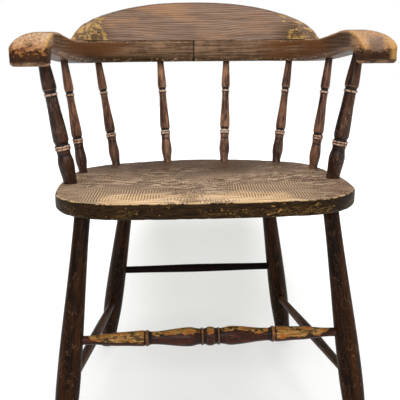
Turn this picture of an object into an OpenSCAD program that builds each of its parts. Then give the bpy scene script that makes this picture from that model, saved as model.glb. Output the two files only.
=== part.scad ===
// Low-back Windsor armchair: a plank seat on four turned legs with box stretchers,
// turned posts and spindles under a bowed arm rail, and a shaped crest on top.
// Millimetres, +Z up, the sitter looks towards -Y, the feet stand on Z = 0.

/* [Seat] */
// Height of the seat's top above the floor
seat_h = 428; // [380:1:500]
// Thickness of the seat plank
seat_t = 28; // [26:1:45]
// Widest half-width of the seat
seat_half_w = 256; // [225:1:300]
// How far the seat's widest line lies in front of the origin
seat_wide_y = 80; // [65:1:90]
// Radius of the seat's sides behind the widest line
seat_side_r = 620; // [500:10:800]
// Radius of the seat's rear corners
seat_rear_corner_r = 110; // [80:1:150]
// Radius of the seat's front corners
seat_front_corner_r = 110; // [80:1:140]
// Radius worn on the seat's upper edge
seat_top_round = 3; // [1:0.5:6]
// Radius on the seat's lower edge
seat_under_round = 8; // [4:0.5:12]
// Depth of the dished hollow in the seat's top
dish_depth = 6; // [3:0.5:8]
// How much of the way out to the seat's edge the dished hollow reaches
dish_share = 0.8; // [0.6:0.01:0.82]

/* [Legs] */
// How far the front legs' tops lie inside the seat's widest half-width
front_top_in = 53; // [45:1:75]
// How far the front legs' tops lie in front of the origin
front_top_y = 161; // [145:1:170]
// Half-distance between the front feet
front_foot_x = 250; // [215:1:290]
// How far the front feet lie in front of the origin
front_foot_y = 237; // [210:1:270]
// How far the rear legs' tops lie inside the seat's widest half-width
rear_top_in = 122; // [106:1:146]
// How far the rear legs' tops lie behind the origin
rear_top_y = 101; // [85:1:115]
// Half-distance between the rear feet
rear_foot_x = 204; // [170:1:230]
// How far the rear feet lie behind the origin
rear_foot_y = 214; // [180:1:240]
// Diameter of a leg where it enters the seat
leg_top_d = 27; // [23:0.5:32]
// Largest diameter of a leg
leg_belly_d = 40; // [34:0.5:48]
// Height of a leg's largest diameter above the floor
leg_belly_h = 118; // [90:1:150]
// Diameter of a leg at the floor
leg_foot_d = 33; // [28:0.5:40]
// Height of a leg's straight foot
leg_straight_h = 12; // [8:1:20]
// Wood left between a leg's socket and the seat's top
socket_roof = 8; // [6:0.5:12]

/* [Stretchers] */
// Height of the front stretcher above the floor
front_stretcher_h = 191; // [160:1:230]
// Height of the rear stretcher above the floor
rear_stretcher_h = 192; // [160:1:230]
// Height of the side stretchers above the floor
side_stretcher_h = 113; // [90:1:140]
// Diameter of the stretchers' ends, which sit in the legs
stretcher_end_d = 15; // [12:0.5:18]
// Diameter of the rear stretcher's middle
rear_stretcher_d = 17.5; // [16:0.5:24]
// Diameter of a side stretcher's middle
side_stretcher_d = 19; // [17:0.5:26]
// Diameter of the front stretcher's vases and centre bead
front_stretcher_d = 32; // [27:0.5:36]
// Diameter of the front stretcher's plain lengths
front_plain_d = 23; // [18:0.5:24]

/* [Posts and spindles] */
// How far the arm posts' feet lie inside the seat's widest half-width
post_foot_in = 19; // [16:1:34]
// How far the arm posts' feet lie in front of the origin
post_foot_y = 57; // [45:1:70]
// How far the arm posts' tops lie outside the arms' centrelines
post_top_out = 2; // [-12:1:12]
// How far the arm posts' tops lie in front of the origin
post_top_y = 63; // [50:1:80]
// How far the side spindles' feet lie inside the seat's widest half-width
side_foot_in = 31; // [28:1:51]
// How far the side spindles' feet lie behind the origin
side_foot_y = 50; // [40:1:60]
// How far the corner spindles' feet lie inside the seat's widest half-width
corner_foot_in = 90; // [88:1:106]
// How far the corner spindles' feet lie behind the origin
corner_foot_y = 134; // [120:1:136]
// Half-distance between the back spindles at the seat's top
back_foot_x = 60; // [45:1:80]
// How far the back spindles' feet lie behind the origin
back_foot_y = 166; // [155:1:172]
// Diameter of a spindle's foot
spindle_foot_d = 17; // [15:0.5:19]
// Diameter of a spindle's low bulge and of its pair of rings
spindle_ring_d = 22; // [19:0.5:25]
// Diameter of a spindle's neck and of its top
spindle_neck_d = 14; // [12:0.5:16]
// Diameter of a post's foot
post_foot_d = 24.8; // [22:0.2:28]
// Diameter of a post's low bulge and of its pair of rings
post_ring_d = 29.4; // [26:0.2:34]
// Diameter of a post's neck
post_neck_d = 21.4; // [19:0.2:24]
// Diameter of a post's top
post_top_d = 18.6; // [16:0.2:22]

/* [Arms and crest] */
// Height of the bow's underside at the back above the floor
rail_under_h = 634; // [600:1:700]
// Thickness of the bow at the back
rail_t = 44; // [38:1:52]
// Width of the bow, seen from above
rail_w = 50; // [44:1:60]
// Height of an arm's underside above the bow's underside, near its front
arm_rise = 21; // [15:1:24]
// Height of an arm's highest line above the bow's top
arm_crown = 12.5; // [8:0.5:18]
// Half-distance between the arms' centrelines at their straight fronts
bow_half_w = 272; // [250:1:300]
// How far an arm's straight front starts in front of the origin
bow_start_y = 62; // [50:1:75]
// Radius of the bow's sides
bow_side_r = 900; // [750:10:1100]
// Radius of the bow's corners
bow_corner_r = 110; // [90:1:140]
// How far an arm's front end lies in front of the origin
arm_front_y = 163; // [145:1:180]
// How much wider an arm is at its front end
arm_flare = 11; // [4:1:16]
// Height of the block under an arm's front end
knuckle_h = 21; // [16:1:24]
// Length of the block under an arm's front end
knuckle_len = 50; // [40:1:54]
// Radius on an arm's upper outer edge
arm_outer_round = 17; // [6:1:20]
// Radius on an arm's upper inner edge
arm_inner_round = 5; // [2:0.5:8]
// Radius on an arm's lower edges
arm_lower_round = 9; // [3:0.5:11]
// Height of the crest above the bow
crest_h = 78; // [60:1:95]
// How far the crest's top leans back from its foot
crest_lean = 20; // [8:1:26]
// Thickness of the crest at its foot
crest_foot_t = 34; // [28:1:40]
// Thickness of the crest at its top
crest_top_t = 15; // [11:1:20]

/* [Fits] */
// Radial gap between a round end and its socket
fit_gap = 0.1; // [0.05:0.05:0.3]
// Gap between a round end and the bottom of its socket
end_gap = 1; // [0.5:0.5:2]
// Depth of the sockets in the seat's top and the arms
upright_socket = 18; // [14:1:20]
// Diameter of a crest screw's shank
screw_d = 5; // [4:0.5:6]
// Diameter of a crest screw's head
screw_head_d = 9.6; // [8:0.2:11]
// Depth that the crest screws reach into the crest
screw_bite = 22; // [16:1:28]

/* [Hidden] */
$fn = 64;
LEFT = -1;
RIGHT = 1;
PAINT = [0.24, 0.15, 0.09];
BARE = [0.60, 0.40, 0.22];
WORN = [0.46, 0.33, 0.22];
STEEL = [0.35, 0.33, 0.31];
far = 2000;
seam_turn = 40;

// Heights that follow from the sizes above
rail_top_h = rail_under_h + rail_t;
arm_under_h = rail_under_h + arm_rise;
crest_top_h = rail_top_h + crest_h;
seat_under_h = seat_h - seat_t;

// Half-distances that follow from the widths of the seat and of the bow
front_top_x = seat_half_w - front_top_in;
rear_top_x = seat_half_w - rear_top_in;
post_foot_x = seat_half_w - post_foot_in;
side_foot_x = seat_half_w - side_foot_in;
corner_foot_x = seat_half_w - corner_foot_in;
post_top_x = bow_half_w + post_top_out;

// Angles at which the seat's and the bow's arcs meet, from the sideways direction
seat_rear_turns = [0, 14.5, 62];
seat_front_turns = [0, 4.5, 85];
seat_front_side_r = 700;
seat_middle_y = -25;
bow_turns = [5.5, 18, 70];

// Where the arms' undersides start and end their rise, and where their tops start and end theirs
rise_start_y = 140;
rise_end_y = 110;
dip_y = 70;
crown_y = 55;

// Turns of the bow's centreline at which the spindles meet it
side_turn = 13.2;
corner_turn = 50;
back_turn = 81.6;

// Heights of an upright's bulge, pair of rings, body and single ring above the seat
spindle_marks = [26, 62, 74, 150];
post_marks = [37, 65, 79, 159];

// Straight length of an upright above the seat, the widths of its rings, and the run over which it
// swells again above the single one
upright_collar = 4;
ring_w = 4.5;
thin_ring_w = 5;
swell_run = 10;

// Diameters beside an upright's rings and of its body, and the rings' rounding, as shares of the rings'
waist_share = 0.8;
body_share = 0.95;
ring_round = 0.07;

// Distances of the front stretcher's features from its middle
centre_bead = 7.5;
thin_ring_x = 13.5;
vase_x = 34;
neck_x = 96;
outer_ring_x = 105;
plain_x = 148;

// Widths of the front stretcher's rings, and how far they and its centre bead are rounded
thin_ring_len = 5;
outer_ring_len = 7;
groove_len = 2;
ring_rise = 2;
bead_rise = 3;

// Diameters along the front stretcher, as shares of its vases'
groove_share = 0.84;
thin_ring_share = 0.94;
outer_ring_share = 0.86;
vase_foot_share = 0.84;
neck_share = 0.67;
collar_share = 0.82;

// Length of a leg's straight top below the seat, and of a stretcher's straight end beside the leg
leg_collar = 12;
stretcher_collar = 8;

// Share of the way out to the seat's edge at which the hollow is deepest, and the rings it is made of
dish_floor = 0.32;
dish_rings = 4;

// Turns of the bow at which the crest screws stand, and how far inside its centreline they do
screw_turns = [60, 80];
screw_inset = 8;

// Turn of the bow at which the crest ends, its height there and the rounding of its edges
crest_end_turn = 17;
crest_end_h = 2;
crest_edge_round = 3;

// Powers that shape the crest's outline at its ends and over its middle
crest_end_power = 2.3;
crest_top_power = 0.85;

// The crest's face at two heights, as shares of its height and of its lean, and its back's bulge
crest_face = [[0.7, 0.68], [0.35, 0.3]];
crest_bulge = 2;

// Rounding of an arm's front corners, how soon it flares, the rounding of the block's nose and cove, and
// the length over which the arm's lower edges turn square above the block
front_round = 9;
flare_pace = 1.25;
block_round = 6;
square_run = 14;
cove_r = knuckle_h - 2;
sharp = 0.4;

function smooth(t) = let (u = max(0, min(1, t))) u * u * (3 - 2 * u);
function dir(a) = [cos(a), sin(a)];
function arc(c, r, a0, a1, n) = [for (i = [0:n]) c + r * dir(a0 + (a1 - a0) * i / n)];
function reversed(p) = [for (i = [len(p) - 1:-1:0]) p[i]];
function mirrored(p) = [for (i = [len(p) - 1:-1:0]) [-p[i].x, p[i].y]];
function flipped(p) = [for (i = [len(p) - 1:-1:0]) [p[i].x, -p[i].y]];

// Three arcs that meet smoothly and end square to the centre plane: [centre, radius] of each
function three_arcs(start, side_r, corner_r, turns) =
    let (side_c = start - side_r * dir(turns[0]))
    let (corner_c = side_c + (side_r - corner_r) * dir(turns[1]))
    let (back_r = corner_r + corner_c.x / cos(turns[2]))
    [[side_c, side_r], [corner_c, corner_r], [corner_c - (back_r - corner_r) * dir(turns[2]), back_r]];

// Half an outline along three arcs, moved outwards by off
function half_outline(arcs, turns, off) = concat(
    arc(arcs[0][0], arcs[0][1] + off, turns[0], turns[1], 5),
    arc(arcs[1][0], arcs[1][1] + off, turns[1] + 5, turns[2], 9),
    arc(arcs[2][0], arcs[2][1] + off, turns[2] + 3, 90, 5));

seat_rear_arcs = three_arcs([seat_half_w, -seat_wide_y], seat_side_r, seat_rear_corner_r, seat_rear_turns);
seat_front_arcs = three_arcs([seat_half_w, seat_wide_y], seat_front_side_r, seat_front_corner_r,
    seat_front_turns);
bow_arcs = three_arcs([bow_half_w, -bow_start_y], bow_side_r, bow_corner_r, bow_turns);

function inner(p) = [for (i = [1:len(p) - 2]) p[i]];
function seat_half(off) = concat(
    inner(flipped(half_outline(seat_front_arcs, seat_front_turns, off))),
    half_outline(seat_rear_arcs, seat_rear_turns, off));
function seat_outline(off) = concat(seat_half(off), mirrored(inner(seat_half(off))));

// A point on the bow's centreline, moved outwards by off, at a turn in degrees
function bow_part(turn) = turn < bow_turns[1] ? bow_arcs[0] : (turn < bow_turns[2] ? bow_arcs[1] : bow_arcs[2]);
function bow_point(turn, off = 0) = bow_part(turn)[0] + (bow_part(turn)[1] + off) * dir(turn);

// Heights of an arm's underside and top, by how far back they lie
function under_z(y) = rail_under_h + arm_rise * smooth((rise_start_y - y) / (rise_start_y + rise_end_y));
function crown_z(y) = rail_top_h + arm_crown * smooth((dip_y - y) / (dip_y + crown_y));
roll_h = rail_top_h + arm_crown - arm_under_h;
function roll_z(y) = arm_under_h + roll_h * sqrt(1 - pow((-y - crown_y) / (arm_front_y - crown_y), 2));
function top_z(y) = y < -crown_y ? roll_z(y) : crown_z(y);

// Places along an arm, from the butt joint to its front: [point, outward direction]
function on_turn(turn) = [bow_point(turn), dir(turn)];
function on_straight(y) = [[bow_half_w - (y + bow_start_y) * tan(bow_turns[0]), y], dir(bow_turns[0])];
function roll_y(i) = -crown_y - (arm_front_y - crown_y) * sin(i);
arm_places = concat(
    [for (turn = [90:-2.5:bow_turns[2] + 1]) on_turn(turn)],
    [for (turn = [bow_turns[2]:-5.2:bow_turns[1]]) on_turn(turn)],
    [for (turn = [15.5:-2.5:bow_turns[0]]) on_turn(turn)],
    [for (a = [6:6:78]) on_straight(roll_y(a))],
    [for (a = [81, 84, 86, 88]) on_straight(roll_y(a))]);
block_places = [for (a = [0:12:180]) on_straight(-arm_front_y + knuckle_len / 2 * (1 - cos(a)))];

// An arm's half-width, which flares towards its front and rounds off at its very end
function end_cut(y) = let (t = 1 - (y + arm_front_y) / front_round)
    t > 0 ? front_round * (1 - sqrt(1 - t * t)) : 0;
function arm_half_w(y) = rail_w / 2 - end_cut(y)
    + arm_flare / 2 * smooth(flare_pace * (-bow_start_y - y) / (arm_front_y - bow_start_y));

// Radius on an arm's lower edges, which are left square where the block is glued on
function lower_round(y) = sharp + (arm_lower_round - sharp)
    * smooth((y + arm_front_y - knuckle_len + square_run) / square_run);

// A box's section with rounded corners: [lower outer, upper outer, upper inner, lower inner]
function quarter(w, z, r, a0) = [for (a = [0:22.5:90]) [w + r * cos(a0 + a), z + r * sin(a0 + a)]];
function box_section(w, z0, z1, rounds) =
    let (r = [for (each_r = rounds) min(each_r, 0.48 * (z1 - z0))])
    concat(quarter(w - r[0], z0 + r[0], r[0], -90), quarter(w - r[1], z1 - r[1], r[1], 0),
        quarter(r[2] - w, z1 - r[2], r[2], 90), quarter(r[3] - w, z0 + r[3], r[3], 180));
function stood(place, section) = [for (q = section)
    [place[0].x + place[1].x * q.x, place[0].y + place[1].y * q.x, q.y]];

// Turned shapes, as [radius, height] from the bottom up
function ease(z0, d0, z1, d1, n = 6) = [for (i = [0:n - 1])
    [(d0 + (d1 - d0) * smooth(i / n)) / 2, z0 + (z1 - z0) * i / n]];
function bead(z, w, d, rise) = [for (i = [0:6])
    [d / 2 - rise + rise * sin(i * 30), z - w / 2 * cos(i * 30)]];

function upright_profile(length, foot, ring, neck, top, marks) = concat(
    [[0, -upright_socket + end_gap], [foot / 2, -upright_socket + end_gap]],
    ease(upright_collar, foot, marks[0], ring),
    ease(marks[0], ring, marks[1] - 2 * ring_w, ring * waist_share),
    bead(marks[1] - ring_w / 2, ring_w, ring, ring * ring_round),
    bead(marks[1] + ring_w / 2, ring_w, ring, ring * ring_round),
    ease(marks[1] + 1.2 * ring_w, ring * waist_share, marks[2], ring * body_share),
    ease(marks[2], ring * body_share, marks[3] - 0.7 * thin_ring_w, neck, 9),
    bead(marks[3], thin_ring_w, (neck + ring) / 2, ring * ring_round),
    ease(marks[3] + 0.7 * thin_ring_w, neck, marks[3] + swell_run, (neck + ring) / 2),
    ease(marks[3] + swell_run, (neck + ring) / 2, length, top, 8),
    [[top / 2, length], [top / 2, length + upright_socket - end_gap],
    [0, length + upright_socket - end_gap]]);

// Half of the front stretcher, from its middle outwards
function half_stretcher() = let (d = front_stretcher_d) concat(
    [[0, 0], [d / 2, 0]],
    [for (a = [30:15:75]) [d / 2 - bead_rise * (1 - cos(a)), centre_bead * sin(a)]],
    [[d * groove_share / 2, centre_bead + groove_len]],
    bead(thin_ring_x, thin_ring_len, d * thin_ring_share, ring_rise),
    ease(thin_ring_x + thin_ring_len, d * vase_foot_share, vase_x, d, 8),
    ease(vase_x, d, neck_x, d * neck_share, 10),
    [[d * neck_share / 2, outer_ring_x - outer_ring_len]],
    bead(outer_ring_x, outer_ring_len, d * outer_ring_share, ring_rise),
    ease(outer_ring_x + outer_ring_len / 2 + 1, d * collar_share, plain_x, front_plain_d));

// The line of each leg, as its points at the seat's top and at the floor
function front_leg(side) = [[side * front_top_x, -front_top_y, seat_h],
    [side * front_foot_x, -front_foot_y, 0]];
function rear_leg(side) = [[side * rear_top_x, rear_top_y, seat_h],
    [side * rear_foot_x, rear_foot_y, 0]];
function at_height(line, z) = line[1] + (line[0] - line[1]) * z / line[0].z;

// The line of each upright, as its points at the seat's top and at the bow's underside
function on_bow(side, turn) = [side * bow_point(turn).x, bow_point(turn).y, under_z(bow_point(turn).y)];
function post_line(side) = [[side * post_foot_x, -post_foot_y, seat_h],
    [side * post_top_x, -post_top_y, under_z(-post_top_y)]];
function side_line(side) = [[side * side_foot_x, side_foot_y, seat_h], on_bow(side, side_turn)];
function corner_line(side) = [[side * corner_foot_x, corner_foot_y, seat_h], on_bow(side, corner_turn)];
function back_line(side) = [[side * back_foot_x, back_foot_y, seat_h], on_bow(side, back_turn)];

// Stands what is drawn along +Z on the line from p towards q, with round parts' seams beside its lean
module along(p, q) {
    d = q - p;
    translate(p)
        rotate([0, acos(d.z / norm(d)), atan2(d.y, d.x)])
            rotate([0, 0, seam_turn])
                children();
}

module turned(profile) {
    rotate_extrude() polygon(profile);
}

// A leg, drawn from the floor up its own line, longer at the foot than it is
module leg(line) {
    length = norm(line[0] - line[1]);
    slope = line[0].z / length;
    top = length - socket_roof / slope;
    neck = length - seat_t / slope - leg_collar;
    below = 20;
    profile = concat(
        [[0, -below], [leg_foot_d / 2, -below]],
        ease(leg_straight_h, leg_foot_d, leg_belly_h, leg_belly_d, 4),
        ease(leg_belly_h, leg_belly_d, neck, leg_top_d, 8),
        [[leg_top_d / 2, neck], [leg_top_d / 2, top], [0, top]]);
    difference() {
        along(line[1], line[0]) turned(profile);
        translate([-far / 2, -far / 2, -far]) cube(far);
        children();
    }
}

// The socket that a leg's top sits in
module leg_socket(line) {
    length = norm(line[0] - line[1]);
    slope = line[0].z / length;
    along(line[1], line[0])
        translate([0, 0, length / 2])
            cylinder(d = leg_top_d + 2 * fit_gap, h = length / 2 - socket_roof / slope + end_gap);
}

// The socket for a stretcher's end, from the leg's middle towards q
module stretcher_socket(p, q) {
    along(p, q)
        translate([0, 0, -end_gap])
            cylinder(d = stretcher_end_d + 2 * fit_gap, h = leg_belly_d);
}

// A plain round stretcher that swells towards its middle
module plain_stretcher(p, q, middle_d) {
    length = norm(q - p);
    shoulder = leg_belly_d / 2 + stretcher_collar;
    profile = concat(
        [[0, 0], [stretcher_end_d / 2, 0]],
        ease(shoulder, stretcher_end_d, length / 2, middle_d, 6),
        ease(length / 2, middle_d, length - shoulder, stretcher_end_d, 6),
        [[stretcher_end_d / 2, length - shoulder], [stretcher_end_d / 2, length], [0, length]]);
    along(p, q) turned(profile);
}

module stretcher_rear() {
    color(PAINT)
        plain_stretcher(at_height(rear_leg(LEFT), rear_stretcher_h),
            at_height(rear_leg(RIGHT), rear_stretcher_h), rear_stretcher_d);
}

module side_stretcher(side) {
    color(PAINT)
        plain_stretcher(at_height(front_leg(side), side_stretcher_h),
            at_height(rear_leg(side), side_stretcher_h), side_stretcher_d);
}

module stretcher_front() {
    p = at_height(front_leg(LEFT), front_stretcher_h);
    q = at_height(front_leg(RIGHT), front_stretcher_h);
    half_l = norm(q - p) / 2;
    shoulder = half_l - leg_belly_d / 2 - stretcher_collar;
    half = concat(half_stretcher(),
        ease(plain_x, front_plain_d, shoulder, stretcher_end_d),
        [[stretcher_end_d / 2, shoulder], [stretcher_end_d / 2, half_l], [0, half_l]]);
    color(BARE)
        along((p + q) / 2, q)
            union() {
                turned(half);
                mirror([0, 0, 1]) turned(half);
            }
}

module front_leg_part(side) {
    other = at_height(front_leg(-side), front_stretcher_h);
    color(PAINT)
        leg(front_leg(side)) {
            stretcher_socket(at_height(front_leg(side), front_stretcher_h), other);
            stretcher_socket(at_height(front_leg(side), side_stretcher_h),
                at_height(rear_leg(side), side_stretcher_h));
        }
}

module rear_leg_part(side) {
    other = at_height(rear_leg(-side), rear_stretcher_h);
    color(PAINT)
        leg(rear_leg(side)) {
            stretcher_socket(at_height(rear_leg(side), rear_stretcher_h), other);
            stretcher_socket(at_height(rear_leg(side), side_stretcher_h),
                at_height(front_leg(side), side_stretcher_h));
        }
}

// The socket for one end of an upright, from p into the wood away from q
module upright_socket_cut(p, q, d) {
    along(p, q)
        translate([0, 0, -upright_socket])
            cylinder(d = d + 2 * fit_gap, h = upright_socket + spindle_ring_d);
}

module upright(line, foot, ring, neck, top, marks) {
    color(PAINT)
        along(line[0], line[1])
            turned(upright_profile(norm(line[1] - line[0]), foot, ring, neck, top, marks));
}

module spindle(line) {
    upright(line, spindle_foot_d, spindle_ring_d, spindle_neck_d, spindle_neck_d, spindle_marks);
}

module post(side) {
    upright(post_line(side), post_foot_d, post_ring_d, post_neck_d, post_top_d, post_marks);
}

function raised(outline, z) = [for (q = outline) [q.x, q.y, z]];

// The seat plank before its sockets: rounded edges and a shallow hollow in its top
module seat_plank() {
    middle = [0, seat_middle_y];
    lower = [for (a = [0:22.5:90]) raised(seat_outline(-seat_under_round * (1 - sin(a))),
        seat_under_h + seat_under_round * (1 - cos(a)))];
    upper = [for (a = [90:-30:0]) raised(seat_outline(-seat_top_round * (1 - sin(a))),
        seat_h - seat_top_round * (1 - cos(a)))];
    hollow = [for (i = [0:dish_rings])
        let (k = dish_share - (dish_share - dish_floor) * i / dish_rings)
        raised([for (q = seat_outline(0)) middle + k * (q - middle)],
            seat_h - dish_depth * smooth(i / dish_rings))];
    skin(concat(lower, upper, hollow));
}

module seat() {
    color(WORN)
        difference() {
            seat_plank();
            for (side = [LEFT, RIGHT]) {
                leg_socket(front_leg(side));
                leg_socket(rear_leg(side));
                upright_socket_cut(post_line(side)[0], post_line(side)[1], post_foot_d);
                for (line = [side_line(side), corner_line(side), back_line(side)])
                    upright_socket_cut(line[0], line[1], spindle_foot_d);
            }
        }
}

// A closed skin over rings of points that follow one another
module skin(rings) {
    n = len(rings[0]);
    last = (len(rings) - 1) * n;
    sides = [for (k = [0:len(rings) - 2], i = [0:n - 1])
        let (a = k * n + i, b = k * n + (i + 1) % n)
        each [[a, b, b + n], [a, b + n, a + n]]];
    ends = [[for (i = [n - 1:-1:0]) i], [for (i = [0:n - 1]) last + i]];
    polyhedron([for (ring = rings) each ring], concat(sides, ends));
}

// Turns what is drawn for the right side into the left one where asked
module on_side(side) {
    mirror([side == LEFT ? 1 : 0, 0, 0]) children();
}

module arm(side) {
    rings = [for (place = arm_places)
        let (y = place[0].y, low = lower_round(y))
        let (edges = [low, arm_outer_round, arm_inner_round, low])
        stood(place, box_section(arm_half_w(y), under_z(y), top_z(y), edges))];
    color(WORN)
        difference() {
            on_side(side) skin(rings);
            upright_socket_cut(post_line(side)[1], post_line(side)[0], post_top_d);
            for (line = [side_line(side), corner_line(side), back_line(side)])
                upright_socket_cut(line[1], line[0], spindle_neck_d);
            screws(fit_gap);
        }
}

// Height of the lower face of the block under an arm's front end
function block_z(y) =
    let (ahead = y + arm_front_y)
    let (nose = 1 - ahead / front_round)
    let (rear = (ahead - knuckle_len + cove_r) / cove_r)
    arm_under_h - knuckle_h
        + (nose > 0 ? front_round * (1 - sqrt(1 - min(1, nose * nose))) : 0)
        + (rear > 0 ? cove_r * sqrt(max(0, 1 - pow(1 - rear, 2))) : 0);

// The block under an arm's front end: rounded in front, coved behind
module knuckle(side) {
    edges = [block_round, sharp, sharp, block_round];
    rings = [for (i = [len(block_places) - 1:-1:0])
        let (place = block_places[i], y = place[0].y)
        stood(place, box_section(arm_half_w(y), block_z(y), arm_under_h, edges))];
    color(WORN) on_side(side) skin(rings);
}

// Lengths along the bow's centreline from the crest's end, and the place at each
side_run = bow_arcs[0][1] * (bow_turns[1] - crest_end_turn) * PI / 180;
corner_run = bow_arcs[1][1] * (bow_turns[2] - bow_turns[1]) * PI / 180;
back_run = bow_arcs[2][1] * (90 - bow_turns[2]) * PI / 180;
half_run = side_run + corner_run + back_run;
function run_turn(run) = run < side_run ? crest_end_turn + run / bow_arcs[0][1] * 180 / PI
    : run < side_run + corner_run ? bow_turns[1] + (run - side_run) / bow_arcs[1][1] * 180 / PI
    : bow_turns[2] + (run - side_run - corner_run) / bow_arcs[2][1] * 180 / PI;

// The crest's height at a share of the way from its end to its middle
function crest_rise(share) = crest_end_h
    + (crest_h - crest_end_h) * pow(1 - pow(1 - share, crest_end_power), crest_top_power);

// The crest's section: a face that leans back, a narrow top and a steep back
function crest_section(h) =
    let (k = h / crest_h, r = min(crest_edge_round, h / 3))
    let (foot = -rail_w / 2, front = foot + crest_lean * k)
    let (back = foot + crest_foot_t + (crest_lean + crest_top_t - crest_foot_t) * k)
    [for (q = concat(
        [[foot + crest_foot_t, 0], [(foot + crest_foot_t + back) / 2 + crest_bulge * k, h / 2]],
        quarter(back - r, h - r, r, 0), quarter(front + r, h - r, r, 90),
        [for (share = crest_face) [foot + share[1] * crest_lean * k, share[0] * h]],
        [[foot, 0]]))
        [q.x, rail_top_h + q.y]];

module crest() {
    count = 20;
    shares = [for (i = [0:count]) pow(i / count, 1.3)];
    half = [for (share = shares) let (turn = run_turn(share * half_run))
        stood(on_turn(turn), crest_section(crest_rise(share)))];
    other = [for (i = [1:count]) [for (q = half[count - i]) [-q.x, q.y, q.z]]];
    color(WORN)
        difference() {
            skin(reversed(concat(half, other)));
            screws(fit_gap);
        }
}

// Four countersunk screws, up through the bow into the crest
module screws(gap) {
    length = rail_t + screw_bite;
    for (side = [LEFT, RIGHT]) {
        for (turn = screw_turns) {
            place = bow_point(turn, -screw_inset);
            translate([side * place.x, place.y, rail_under_h])
                rotate_extrude($fn = 32)
                    polygon([[0, 0], [screw_head_d / 2 + gap, 0],
                        [screw_d / 2 + gap, (screw_head_d - screw_d) / 2],
                        [screw_d / 2 + gap, length - screw_d + gap],
                        [0, length + gap]]);
        }
    }
}

module crest_screws() {
    color(STEEL) screws(0);
}

module leg_front_left() { front_leg_part(LEFT); }
module leg_front_right() { front_leg_part(RIGHT); }
module leg_rear_left() { rear_leg_part(LEFT); }
module leg_rear_right() { rear_leg_part(RIGHT); }
module stretcher_left() { side_stretcher(LEFT); }
module stretcher_right() { side_stretcher(RIGHT); }
module post_left() { post(LEFT); }
module post_right() { post(RIGHT); }
module spindle_side_left() { spindle(side_line(LEFT)); }
module spindle_side_right() { spindle(side_line(RIGHT)); }
module spindle_corner_left() { spindle(corner_line(LEFT)); }
module spindle_corner_right() { spindle(corner_line(RIGHT)); }
module spindle_back_left() { spindle(back_line(LEFT)); }
module spindle_back_right() { spindle(back_line(RIGHT)); }
module arm_left() { arm(LEFT); }
module arm_right() { arm(RIGHT); }
module knuckle_left() { knuckle(LEFT); }
module knuckle_right() { knuckle(RIGHT); }

seat();
leg_front_left();
leg_front_right();
leg_rear_left();
leg_rear_right();
stretcher_front();
stretcher_rear();
stretcher_left();
stretcher_right();
post_left();
post_right();
spindle_side_left();
spindle_side_right();
spindle_corner_left();
spindle_corner_right();
spindle_back_left();
spindle_back_right();
arm_left();
arm_right();
knuckle_left();
knuckle_right();
crest();
crest_screws();
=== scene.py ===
import math

import bpy
import numpy as np
from mathutils import Matrix, Vector, noise


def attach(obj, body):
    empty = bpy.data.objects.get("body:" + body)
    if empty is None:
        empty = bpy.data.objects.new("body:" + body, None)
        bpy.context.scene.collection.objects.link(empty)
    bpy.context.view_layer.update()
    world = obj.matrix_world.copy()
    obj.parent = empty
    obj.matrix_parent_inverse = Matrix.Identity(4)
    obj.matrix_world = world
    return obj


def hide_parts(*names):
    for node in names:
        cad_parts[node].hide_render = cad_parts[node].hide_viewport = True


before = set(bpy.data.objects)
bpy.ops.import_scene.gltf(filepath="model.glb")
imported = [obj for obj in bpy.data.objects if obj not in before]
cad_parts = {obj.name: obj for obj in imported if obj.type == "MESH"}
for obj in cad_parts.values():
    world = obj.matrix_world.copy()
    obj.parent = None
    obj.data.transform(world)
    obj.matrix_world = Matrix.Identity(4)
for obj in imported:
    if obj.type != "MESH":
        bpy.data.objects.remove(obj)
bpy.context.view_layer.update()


# ---------------------------------------------------------------------------
# Camera and lamps
# ---------------------------------------------------------------------------

def add_camera():
    """A long lens at arm height, a little left of the chair's middle, looking slightly down."""
    place = Vector((-0.083, -1.274, 0.658))
    pitch, yaw, roll = (math.radians(a) for a in (12.31, 3.62, -0.49))
    ahead = Vector((math.sin(yaw) * math.cos(pitch), math.cos(yaw) * math.cos(pitch), -math.sin(pitch)))
    level = Vector((math.cos(yaw), -math.sin(yaw), 0.0))
    above = level.cross(ahead)
    right = math.cos(roll) * level + math.sin(roll) * above
    up = math.cos(roll) * above - math.sin(roll) * level
    data = bpy.data.cameras.new("camera")
    data.lens = 61.9
    camera = bpy.data.objects.new("camera", data)
    camera.matrix_world = Matrix.Translation(place) @ Matrix((right, up, -ahead)).transposed().to_4x4()
    bpy.context.scene.collection.objects.link(camera)
    bpy.context.scene.camera = camera


def add_lamp(name, place, aim, size, power):
    """A soft box of the given width and height, turned towards its aim."""
    data = bpy.data.lights.new(name, "AREA")
    data.shape = "RECTANGLE"
    data.size, data.size_y = size
    data.energy = power
    lamp = bpy.data.objects.new(name, data)
    lamp.location = place
    lamp.rotation_euler = (Vector(aim) - Vector(place)).to_track_quat("-Z", "Y").to_euler()
    bpy.context.scene.collection.objects.link(lamp)


# ---------------------------------------------------------------------------
# Shader sums
# ---------------------------------------------------------------------------

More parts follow.
